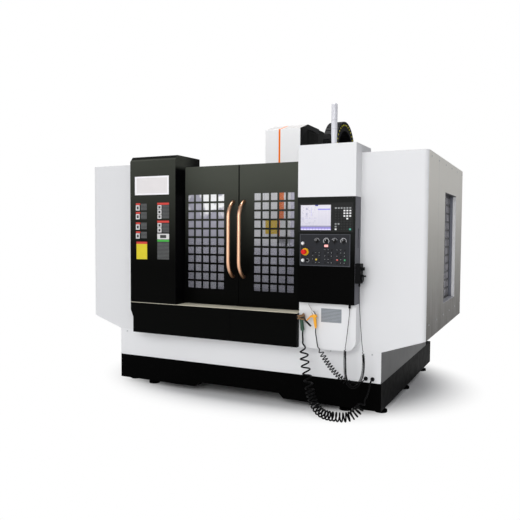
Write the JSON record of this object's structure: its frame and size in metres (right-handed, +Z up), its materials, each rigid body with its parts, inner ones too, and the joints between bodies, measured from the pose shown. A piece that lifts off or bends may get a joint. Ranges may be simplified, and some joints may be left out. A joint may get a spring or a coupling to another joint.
{
  "type": "enclosed vertical machining centre",
  "caption": "Fully enclosed vertical milling machine with sliding front doors, a control housing, side wings with grid windows, an open roof and hanging air and coolant guns.",
  "frame": {"origin": "middle of the footprint on the floor, measured without the free hoses and cord", "axes": "+X to the right as seen from the front, +Y to the rear, +Z up"},
  "size_m": [3.462, 2.7139, 2.782],
  "materials": {
    "white_enamel": "smooth satin enamel",
    "black_enamel": "glossy greenish black enamel",
    "cast_black": "painted casting",
    "cast_grey": "grey painted casting",
    "table_steel": "ground casting",
    "bare_steel": "ground steel",
    "sill_steel": "worn beige steel",
    "copper_tube": "copper coloured lacquer",
    "clear_glass": "clear",
    "black_plastic": "fine grained",
    "plate_grey": "printed membrane, no lettering",
    "stop_red": "smooth",
    "button_white": "smooth",
    "lamp_white": "translucent white",
    "gun_green": "dark green enamel",
    "gun_yellow": "smooth",
    "hose_black": "smooth"
  },
  "bodies": {
    "frame": {"base": "cast_black", "levelling_feet": "cast_black", "skirt": "white_enamel", "column": "cast_grey", "left_wing": "white_enamel", "right_wing": "white_enamel", "left_side_window": "white_enamel", "right_side_window": "white_enamel", "side_glass": "clear_glass", "pocket_cover": "black_enamel", "apron": "black_enamel", "sill": "sill_steel", "door_track": "bare_steel", "control_housing": "white_enamel", "control_panel": "black_enamel", "display": "black_plastic", "operator_plate": "plate_grey", "signal_lamp": "lamp_white", "pendant": "black_plastic", "coolant_gun": "gun_green", "air_gun": "gun_yellow", "gun_hooks": "bare_steel", "hose_fittings": "black_plastic", "coolant_hose": "hose_black", "air_hose": "hose_black", "pendant_cord": "hose_black", "cable_carrier": "black_plastic", "axis_motors": "black_plastic", "rear_cabinet": "white_enamel"},
    "left_door": {"left_door": "black_enamel", "left_door_glass": "clear_glass", "left_handle": "copper_tube"},
    "right_door": {"right_door": "black_enamel", "right_door_glass": "clear_glass", "right_handle": "copper_tube"},
    "saddle": {"saddle": "cast_grey"},
    "table": {"table": "table_steel", "x_motor": "black_plastic"},
    "head": {"spindle_head": "cast_grey", "spindle_motor": "black_enamel", "head_cover": "white_enamel"},
    "spindle": {"spindle": "bare_steel"},
    "x_screw": {"x_screw": "bare_steel"},
    "y_screw": {"y_screw": "bare_steel"},
    "z_screw": {"z_screw": "bare_steel"},
    "emergency_stop": {"emergency_stop": "stop_red"},
    "start_button": {"start_button": "button_white"},
    "hold_button": {"hold_button": "button_white"},
    "key_switch": {"key_switch": "black_plastic"},
    "mode_knob": {"mode_knob": "black_plastic"},
    "feed_knob": {"feed_knob": "black_plastic"},
    "rapid_knob": {"rapid_knob": "black_plastic"},
    "spindle_knob": {"spindle_knob": "black_plastic"},
    "handwheel": {"handwheel": "black_plastic"},
    "axis_knob": {"axis_knob": "black_plastic"},
    "rate_knob": {"rate_knob": "black_plastic"},
    "coolant_lever": {"coolant_lever": "black_plastic"},
    "air_trigger": {"air_trigger": "gun_yellow"},
    "rear_door": {"rear_door": "white_enamel"},
    "main_switch": {"main_switch": "stop_red"}
  },
  "joints": [
    {"name": "left_door_slide", "type": "slide", "parent": "frame", "child": "left_door", "axis": [-1, 0, 0], "range_m": [0, 0.5]},
    {"name": "right_door_slide", "type": "slide", "parent": "frame", "child": "right_door", "axis": [1, 0, 0], "range_m": [0, 0.49]},
    {"name": "saddle_y", "type": "slide", "parent": "frame", "child": "saddle", "axis": [0, 1, 0], "range_m": [-0.3, 0.3]},
    {"name": "table_x", "type": "slide", "parent": "saddle", "child": "table", "axis": [1, 0, 0], "range_m": [-0.5, 0.5]},
    {"name": "head_z", "type": "slide", "parent": "frame", "child": "head", "axis": [0, 0, 1], "range_m": [-0.35, 0.25], "deforming": ["cable_carrier"]},
    {"name": "spindle_turn", "type": "hinge", "parent": "head", "child": "spindle", "pos_m": [0, 0.086, 1.5], "axis": [0, 0, 1], "continuous": true},
    {"name": "x_screw_turn", "type": "hinge", "parent": "table", "child": "x_screw", "pos_m": [0, 0.086, 0.82], "axis": [1, 0, 0], "range_deg": [-9001, 9001]},
    {"name": "y_screw_turn", "type": "hinge", "parent": "frame", "child": "y_screw", "pos_m": [0, 0.1, 0.576], "axis": [0, 1, 0], "range_deg": [-5401, 5401]},
    {"name": "z_screw_turn", "type": "hinge", "parent": "frame", "child": "z_screw", "pos_m": [0, 0.706, 1.6], "axis": [0, 0, 1], "range_deg": [-6301, 4501]},
    {"name": "stop_press", "type": "slide", "parent": "frame", "child": "emergency_stop", "axis": [0, 1, 0], "range_m": [0, 0.005], "stiffness_N_per_m": 1200},
    {"name": "start_press", "type": "slide", "parent": "frame", "child": "start_button", "axis": [0, 1, 0], "range_m": [0, 0.004], "stiffness_N_per_m": 600},
    {"name": "hold_press", "type": "slide", "parent": "frame", "child": "hold_button", "axis": [0, 1, 0], "range_m": [0, 0.004], "stiffness_N_per_m": 600},
    {"name": "key_turn", "type": "hinge", "parent": "frame", "child": "key_switch", "pos_m": [0.75778, -1.247, 1.3209], "axis": [0, 1, 0], "range_deg": [0, 90]},
    {"name": "mode_knob_turn", "type": "hinge", "parent": "frame", "child": "mode_knob", "pos_m": [0.84156, -1.247, 1.48695], "axis": [0, 1, 0], "range_deg": [-135, 135]},
    {"name": "feed_knob_turn", "type": "hinge", "parent": "frame", "child": "feed_knob", "pos_m": [0.92534, -1.247, 1.48695], "axis": [0, 1, 0], "range_deg": [-135, 135]},
    {"name": "rapid_knob_turn", "type": "hinge", "parent": "frame", "child": "rapid_knob", "pos_m": [0.9997, -1.247, 1.48695], "axis": [0, 1, 0], "range_deg": [-135, 135]},
    {"name": "spindle_knob_turn", "type": "hinge", "parent": "frame", "child": "spindle_knob", "pos_m": [1.07676, -1.247, 1.48695], "axis": [0, 1, 0], "range_deg": [-135, 135]},
    {"name": "handwheel_turn", "type": "hinge", "parent": "frame", "child": "handwheel", "pos_m": [1.223, -1.2035, 1.18255], "axis": [1, 0, 0], "continuous": true},
    {"name": "axis_knob_turn", "type": "hinge", "parent": "frame", "child": "axis_knob", "pos_m": [1.223, -1.22167, 1.2601], "axis": [1, 0, 0], "range_deg": [-90, 90]},
    {"name": "rate_knob_turn", "type": "hinge", "parent": "frame", "child": "rate_knob", "pos_m": [1.223, -1.18533, 1.2601], "axis": [1, 0, 0], "range_deg": [-60, 60]},
    {"name": "coolant_squeeze", "type": "hinge", "parent": "frame", "child": "coolant_lever", "pos_m": [0.73186, -1.238, 0.80887], "axis": [0, 1, 0], "range_deg": [0, 18], "stiffness_Nm_per_rad": 1.2},
    {"name": "air_squeeze", "type": "hinge", "parent": "frame", "child": "air_trigger", "pos_m": [0.79253, -1.238, 0.84199], "axis": [0, -1, 0], "range_deg": [0, 16], "stiffness_Nm_per_rad": 1},
    {"name": "rear_door_swing", "type": "hinge", "parent": "frame", "child": "rear_door", "pos_m": [1.609, 1.229, 1.34], "axis": [0, 0, -1], "range_deg": [0, 110]},
    {"name": "main_switch_turn", "type": "hinge", "parent": "rear_door", "child": "main_switch", "pos_m": [0.76, 1.262, 1.5272], "axis": [0, 1, 0], "range_deg": [0, 90]}
  ],
  "couplings": [
    {"joint": "x_screw_turn", "follows": "table_x", "rad_per_m": 314.16},
    {"joint": "y_screw_turn", "follows": "saddle_y", "rad_per_m": 314.16},
    {"joint": "z_screw_turn", "follows": "head_z", "rad_per_m": 314.16}
  ]
}
